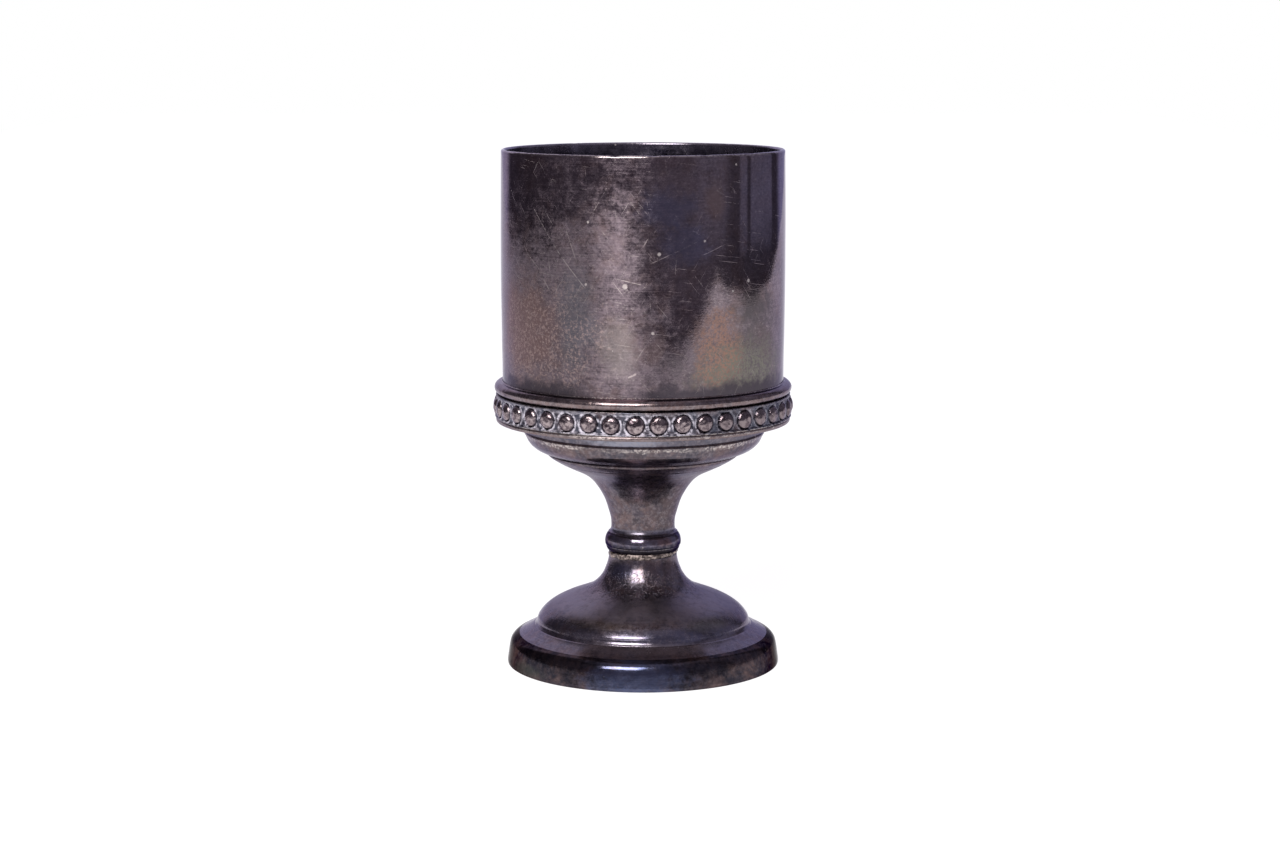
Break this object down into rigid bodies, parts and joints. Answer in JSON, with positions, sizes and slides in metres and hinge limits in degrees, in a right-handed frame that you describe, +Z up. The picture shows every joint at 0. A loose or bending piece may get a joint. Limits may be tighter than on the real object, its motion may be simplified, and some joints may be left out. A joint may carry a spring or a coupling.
{
  "type": "communion chalice",
  "caption": "Small silver-plated communion chalice: straight beaker cup, beaded band, dished bowl underside, ringed waist stem and a stepped domed foot.",
  "frame": {"origin": "centre of the circle that the foot stands on", "axes": "+Z up along the turning axis; the front, as it is usually looked at, is -Y"},
  "size_m": [0.0754, 0.0754, 0.13],
  "materials": {
    "cup_plate": "tarnished silver plate on brass, brushed and scratched, semi-gloss",
    "dark_plate": "dark tarnished silver plate on brass, turned, semi-gloss",
    "bead_plate": "cast and plated, worn on the crowns, pale polish left in the grooves",
    "worn_edge": "plate worn pale on a thin edge",
    "solder_grey": "dull rough solder",
    "raw_brass": "unplated dull brass"
  },
  "bodies": {
    "root": {"cup": "cup_plate", "collar_moulding": "dark_plate", "bead_band": "bead_plate", "base_plate": "worn_edge", "bowl_dish": "dark_plate", "stem": "dark_plate", "knop_ring": "dark_plate", "joint_solder": "solder_grey", "foot_dome": "dark_plate", "foot_plinth": "dark_plate", "foot_rim_wire": "dark_plate", "tie_rod": "raw_brass", "rod_boss": "raw_brass", "foot_washer": "raw_brass", "foot_nut": "raw_brass"}
  },
  "joints": []
}
